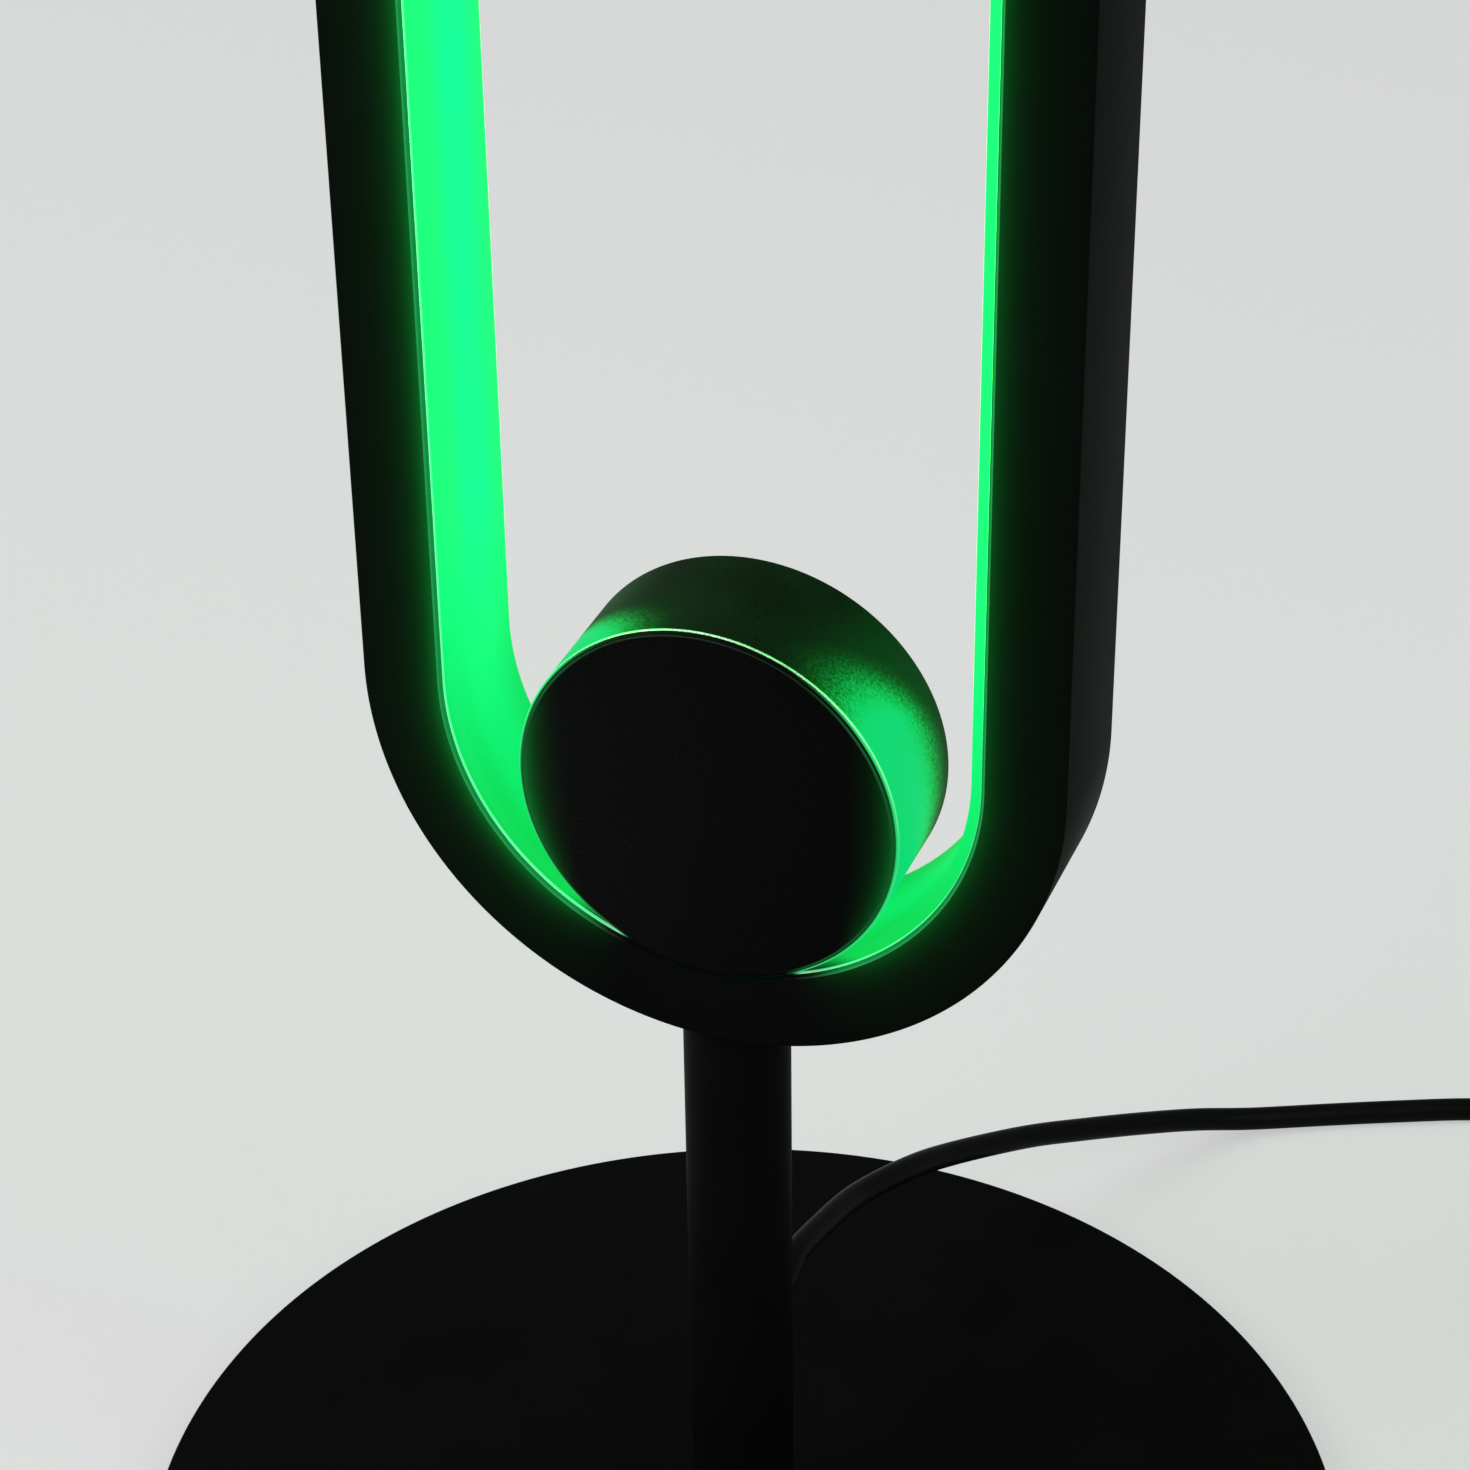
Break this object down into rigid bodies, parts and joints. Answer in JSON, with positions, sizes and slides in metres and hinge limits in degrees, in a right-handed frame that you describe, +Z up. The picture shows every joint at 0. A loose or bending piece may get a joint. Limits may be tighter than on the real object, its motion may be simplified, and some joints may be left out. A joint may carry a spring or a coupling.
{
  "type": "led floor lamp",
  "caption": "Floor lamp: a tall upright loop of channel lit along its inner side, with a driver drum in its foot, on a short stem and a round base, with a mains cord, foot switch and plug.",
  "frame": {"origin": "middle of the base's underside, on the floor", "axes": "+Z up, the loop's open front faces -Y, +X to the right seen from the front"},
  "size_m": [0.4563, 0.3961, 1.2],
  "materials": {
    "black_coat": "matt black powder coat",
    "black_plastic": "matt black moulding",
    "black_rubber": "smooth black sheath",
    "black_foam": "dense black foam",
    "zinc": "bright zinc plate",
    "brass": "plain turned brass",
    "lit_green": "frosted, lit green from behind",
    "strip_white": "white circuit strip with its chips",
    "board_green": "green circuit board",
    "part_grey": "dark grey moulding",
    "lead_white": "white insulation"
  },
  "bodies": {
    "lamp": {"base_plate": "black_coat", "base_pad": "black_foam", "base_bolt": "zinc", "base_washer": "zinc", "stem_tube": "black_coat", "stem_foot_plug": "zinc", "stem_head_plug": "zinc", "hollow_nipple": "brass", "nipple_nut": "brass", "cord_bush": "black_rubber", "inner_lead": "lead_white", "strip_lead": "lead_white", "loop_channel": "black_coat", "drum_saddle": "zinc", "diffuser": "lit_green", "led_strip": "strip_white", "drum_housing": "black_coat", "drum_cover": "black_coat", "cover_screw_1": "zinc", "cover_screw_2": "zinc", "cover_screw_3": "zinc", "driver_board": "board_green", "board_screw_1": "zinc", "board_screw_2": "zinc", "board_screw_3": "zinc", "driver_transformer": "part_grey", "driver_capacitor": "part_grey", "driver_chip": "part_grey", "terminal_block": "lead_white", "cord_lead": "black_rubber", "cord_coil": "black_rubber", "cord_tail": "black_rubber", "coil_tie": "black_rubber", "switch_base": "black_plastic", "switch_cover": "black_plastic", "switch_spring": "zinc", "switch_contact": "part_grey", "switch_screw_1": "zinc", "switch_screw_2": "zinc", "plug_body": "black_plastic", "plug_pin_1": "zinc", "plug_pin_2": "zinc"},
    "button": {"switch_button": "black_plastic"}
  },
  "joints": [
    {"name": "switch_press", "type": "slide", "parent": "lamp", "child": "button", "axis": [0, 0, -1], "range_m": [0, 0.003], "stiffness_N_per_m": 800, "springref_m": -0.002, "deforming": ["switch_spring"]}
  ]
}
